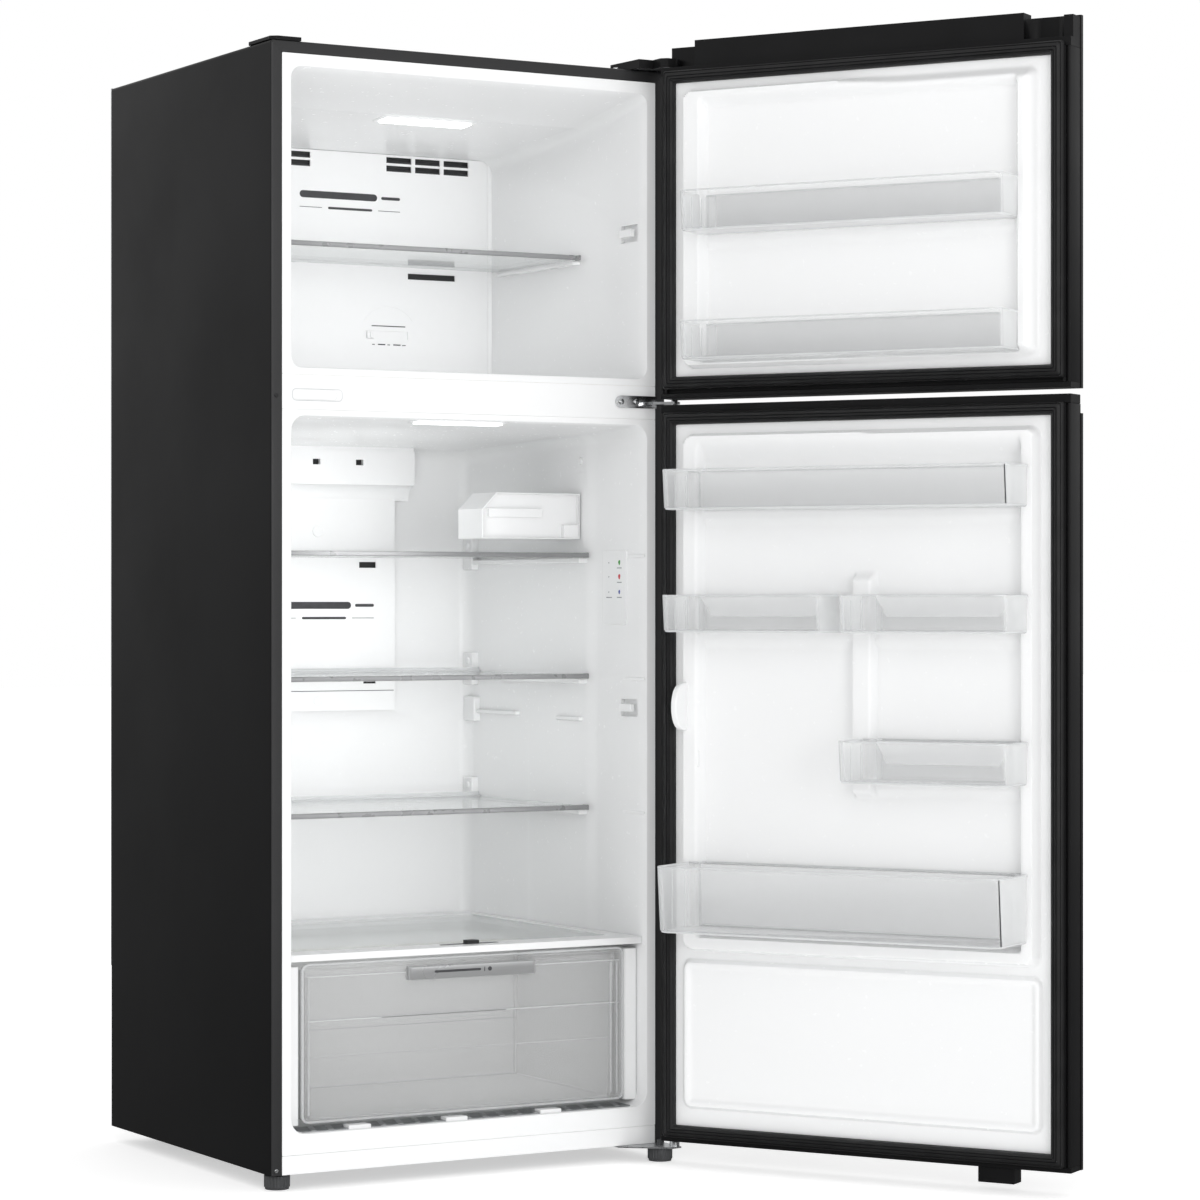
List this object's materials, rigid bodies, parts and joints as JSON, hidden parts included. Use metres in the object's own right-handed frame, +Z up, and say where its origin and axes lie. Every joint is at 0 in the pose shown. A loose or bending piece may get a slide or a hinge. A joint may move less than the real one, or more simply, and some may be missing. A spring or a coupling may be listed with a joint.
{
  "type": "top freezer refrigerator",
  "caption": "Tall top freezer refrigerator with black cabinet, white liners, two right-hinged doors with clear bins, glass shelves and a clear crisper drawer.",
  "frame": {"origin": "on the floor, midway between the cabinet's side walls and directly under the plane of its front flange", "axes": "+X to the right of a person facing the doors, +Y to the back of the cabinet, +Z up"},
  "size_m": [1.0599, 1.2908, 1.791],
  "materials": {
    "cabinet_black": "satin",
    "back_steel": "matte",
    "foam": "matte",
    "door_core": "satin",
    "liner_white": "gloss",
    "trim_white": "satin",
    "door_black": "satin",
    "cap_black": "satin",
    "gasket_black": "matte",
    "clear_plastic": "gloss",
    "shelf_glass": "polished",
    "shelf_trim": "satin",
    "lamp_lens": "satin",
    "hinge_chrome": "polished",
    "zinc_steel": "satin",
    "base_steel": "satin",
    "foot_grey": "matte",
    "black_plastic": "matte",
    "compressor_black": "satin",
    "fin_aluminium": "satin"
  },
  "bodies": {
    "cabinet": {"cabinet_shell": "cabinet_black", "back_panel": "back_steel", "insulation": "foam", "freezer_liner": "liner_white", "fridge_liner": "liner_white", "mullion_rail": "trim_white", "kick_plate": "trim_white", "base_frame": "base_steel", "compressor": "compressor_black", "bay_cover": "black_plastic", "cord_gland": "black_plastic", "evaporator": "fin_aluminium", "freezer_air_panel": "liner_white", "fridge_air_duct": "liner_white", "interior_lamps": "lamp_lens", "top_hinge": "zinc_steel", "top_hinge_cover": "cap_black", "blank_hinge_cover": "cap_black", "middle_hinge": "hinge_chrome", "bottom_hinge": "zinc_steel", "hinge_screws": "zinc_steel", "crisper_cover_frame": "trim_white", "crisper_cover_glass": "shelf_glass"},
    "fan": {"fan_rotor": "black_plastic"},
    "freezer_temp_control": {"freezer_temp_slider": "trim_white"},
    "freezer_shelf": {"freezer_shelf": "shelf_glass", "freezer_shelf_trim": "shelf_trim"},
    "fridge_shelf_upper": {"fridge_shelf_upper": "shelf_glass", "fridge_shelf_upper_trim": "shelf_trim"},
    "fridge_shelf_middle": {"fridge_shelf_middle": "shelf_glass", "fridge_shelf_middle_trim": "shelf_trim"},
    "fridge_shelf_lower": {"fridge_shelf_lower": "shelf_glass", "fridge_shelf_lower_trim": "shelf_trim"},
    "humidity_control": {"humidity_slider": "black_plastic"},
    "crisper": {"crisper_drawer": "clear_plastic", "crisper_handle": "shelf_trim"},
    "side_rack": {"side_rack": "trim_white"},
    "freezer_switch": {"freezer_door_switch": "trim_white"},
    "fridge_switch": {"fridge_door_switch": "trim_white"},
    "foot_left": {"foot_left": "foot_grey"},
    "foot_right": {"foot_right": "foot_grey"},
    "rear_rollers": {"rear_rollers": "black_plastic"},
    "freezer_door": {"freezer_door_panel": "door_black", "freezer_door_body": "door_core", "freezer_door_liner": "liner_white", "freezer_door_gasket": "gasket_black", "freezer_door_cap": "cap_black"},
    "freezer_bin_upper": {"freezer_bin_upper": "clear_plastic"},
    "freezer_bin_lower": {"freezer_bin_lower": "clear_plastic"},
    "fridge_door": {"fridge_door_panel": "door_black", "fridge_door_body": "door_core", "fridge_door_liner": "liner_white", "fridge_door_gasket": "gasket_black", "fridge_door_cap": "cap_black", "fridge_door_block": "black_plastic"},
    "fridge_bin_top": {"fridge_bin_top": "clear_plastic"},
    "fridge_bin_middle_hinge": {"fridge_bin_middle_hinge": "clear_plastic"},
    "fridge_bin_middle_grip": {"fridge_bin_middle_grip": "clear_plastic"},
    "fridge_bin_low": {"fridge_bin_low": "clear_plastic"},
    "fridge_bin_bottom": {"fridge_bin_bottom": "clear_plastic"}
  },
  "joints": [
    {"name": "freezer_door_hinge", "type": "hinge", "parent": "cabinet", "child": "freezer_door", "pos_m": [0.34, -0.046, 1.48], "axis": [0, 0, 1], "range_deg": [-120.8, 14.2]},
    {"name": "fridge_door_hinge", "type": "hinge", "parent": "cabinet", "child": "fridge_door", "pos_m": [0.34, -0.046, 0.62], "axis": [0, 0, 1], "range_deg": [-120.8, 14.2]},
    {"name": "freezer_shelf_slide", "type": "slide", "parent": "cabinet", "child": "freezer_shelf", "axis": [0, -1, 0], "range_m": [0, 0.22]},
    {"name": "fridge_shelf_upper_slide", "type": "slide", "parent": "cabinet", "child": "fridge_shelf_upper", "axis": [0, -1, 0], "range_m": [0, 0.22]},
    {"name": "fridge_shelf_middle_slide", "type": "slide", "parent": "cabinet", "child": "fridge_shelf_middle", "axis": [0, -1, 0], "range_m": [0, 0.22]},
    {"name": "fridge_shelf_lower_slide", "type": "slide", "parent": "cabinet", "child": "fridge_shelf_lower", "axis": [0, -1, 0], "range_m": [0, 0.22]},
    {"name": "crisper_slide", "type": "slide", "parent": "cabinet", "child": "crisper", "axis": [0, -1, 0], "range_m": [0, 0.3]},
    {"name": "side_rack_slide", "type": "slide", "parent": "cabinet", "child": "side_rack", "axis": [0, -1, 0], "range_m": [0, 0.15]},
    {"name": "humidity_control_slide", "type": "slide", "parent": "cabinet", "child": "humidity_control", "axis": [1, 0, 0], "range_m": [-0.046, 0.04]},
    {"name": "freezer_temp_control_slide", "type": "slide", "parent": "cabinet", "child": "freezer_temp_control", "axis": [1, 0, 0], "range_m": [0, 0.063]},
    {"name": "freezer_switch_press", "type": "slide", "parent": "cabinet", "child": "freezer_switch", "axis": [1, 0, 0], "range_m": [0, 0.006], "stiffness_N_per_m": 150, "springref_m": -0.003},
    {"name": "fridge_switch_press", "type": "slide", "parent": "cabinet", "child": "fridge_switch", "axis": [1, 0, 0], "range_m": [0, 0.006], "stiffness_N_per_m": 150, "springref_m": -0.003},
    {"name": "foot_left_turn", "type": "hinge", "parent": "cabinet", "child": "foot_left", "pos_m": [-0.324, 0.034, 0.01], "axis": [0, 0, 1], "continuous": true},
    {"name": "foot_right_turn", "type": "hinge", "parent": "cabinet", "child": "foot_right", "pos_m": [0.329, -0.019, 0.01], "axis": [0, 0, 1], "continuous": true},
    {"name": "rear_rollers_turn", "type": "hinge", "parent": "cabinet", "child": "rear_rollers", "pos_m": [0, 0.59, 0.017], "axis": [1, 0, 0], "continuous": true},
    {"name": "fan_turn", "type": "hinge", "parent": "cabinet", "child": "fan", "pos_m": [0, 0.538, 1.585], "axis": [0, 1, 0], "continuous": true},
    {"name": "freezer_bin_upper_lift", "type": "slide", "parent": "freezer_door", "child": "freezer_bin_upper", "axis": [0, 0, 1], "range_m": [0, 0.025]},
    {"name": "freezer_bin_lower_lift", "type": "slide", "parent": "freezer_door", "child": "freezer_bin_lower", "axis": [0, 0, 1], "range_m": [0, 0.025]},
    {"name": "fridge_bin_top_lift", "type": "slide", "parent": "fridge_door", "child": "fridge_bin_top", "axis": [0, 0, 1], "range_m": [0, 0.025]},
    {"name": "fridge_bin_middle_hinge_lift", "type": "slide", "parent": "fridge_door", "child": "fridge_bin_middle_hinge", "axis": [0, 0, 1], "range_m": [0, 0.025]},
    {"name": "fridge_bin_middle_grip_lift", "type": "slide", "parent": "fridge_door", "child": "fridge_bin_middle_grip", "axis": [0, 0, 1], "range_m": [0, 0.025]},
    {"name": "fridge_bin_low_lift", "type": "slide", "parent": "fridge_door", "child": "fridge_bin_low", "axis": [0, 0, 1], "range_m": [0, 0.025]},
    {"name": "fridge_bin_bottom_lift", "type": "slide", "parent": "fridge_door", "child": "fridge_bin_bottom", "axis": [0, 0, 1], "range_m": [0, 0.025]}
  ]
}
